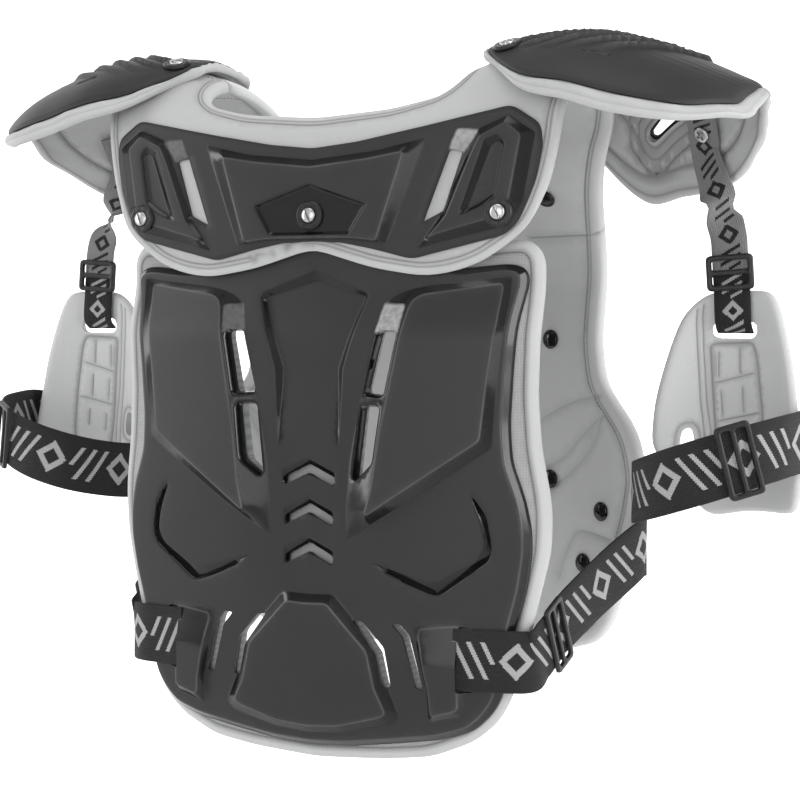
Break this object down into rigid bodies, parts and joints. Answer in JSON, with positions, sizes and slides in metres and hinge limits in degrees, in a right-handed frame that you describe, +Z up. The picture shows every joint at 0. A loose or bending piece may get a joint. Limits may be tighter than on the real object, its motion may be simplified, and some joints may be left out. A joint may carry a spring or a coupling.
{
  "type": "roost deflector",
  "caption": "Body armour vest for off-road riding: moulded black back plates on grey padding, shoulder caps, upper-arm guards on elastic bands, waist bands and a chest panel.",
  "frame": {"origin": "the shoulder seat: on the middle plane, between the two shoulders, just under the crest of the shoulder padding's inside", "axes": "+X towards the wearer's right, +Y the way the wearer faces, +Z up"},
  "size_m": [0.6712, 0.2518, 0.5248],
  "materials": {
    "arm_buckle": "satin",
    "arm_strap": "woven elastic",
    "back_pad": "mesh with smooth binding",
    "back_plate": "satin moulded",
    "cap_pad": "moulded foam lining",
    "cap_shell": "ribbed, satin",
    "front_pad": "smooth lining",
    "front_plate": "satin moulded",
    "guard_pad": "moulded foam lining",
    "guard_shell": "satin moulded",
    "hanger_buckle": "satin",
    "hanger_strap": "woven webbing",
    "lining_rivet": "satin",
    "screw": "polished",
    "waist_buckle": "satin",
    "waist_strap": "woven elastic",
    "washer": "satin",
    "yoke_pad": "mesh with stitched edge",
    "yoke_plate": "satin moulded"
  },
  "bodies": {
    "root": {"arm_buckle_left": "arm_buckle", "arm_buckle_right": "arm_buckle", "arm_strap_left": "arm_strap", "arm_strap_right": "arm_strap", "back_pad": "back_pad", "back_plate": "back_plate", "cap_left_screw": "screw", "cap_left_washer": "washer", "cap_pad_left": "cap_pad", "cap_pad_right": "cap_pad", "cap_right_screw": "screw", "cap_right_washer": "washer", "cap_shell_left": "cap_shell", "cap_shell_right": "cap_shell", "chest_rivet_left_1": "lining_rivet", "chest_rivet_left_2": "lining_rivet", "chest_rivet_left_3": "lining_rivet", "chest_rivet_left_4": "lining_rivet", "chest_rivet_left_5": "lining_rivet", "chest_rivet_right_1": "lining_rivet", "chest_rivet_right_2": "lining_rivet", "chest_rivet_right_3": "lining_rivet", "chest_rivet_right_4": "lining_rivet", "chest_rivet_right_5": "lining_rivet", "front_pad": "front_pad", "front_plate": "front_plate", "guard_pad_left": "guard_pad", "guard_pad_right": "guard_pad", "guard_shell_left": "guard_shell", "guard_shell_right": "guard_shell", "hanger_buckle_left": "hanger_buckle", "hanger_buckle_right": "hanger_buckle", "hanger_screw_left": "screw", "hanger_screw_right": "screw", "hanger_strap_left": "hanger_strap", "hanger_strap_right": "hanger_strap", "waist_buckle_left": "waist_buckle", "waist_buckle_right": "waist_buckle", "waist_strap_left": "waist_strap", "waist_strap_right": "waist_strap", "yoke_centre_screw": "screw", "yoke_centre_washer": "washer", "yoke_left_screw": "screw", "yoke_left_washer": "washer", "yoke_pad": "yoke_pad", "yoke_plate": "yoke_plate", "yoke_right_screw": "screw", "yoke_right_washer": "washer"}
  },
  "joints": []
}
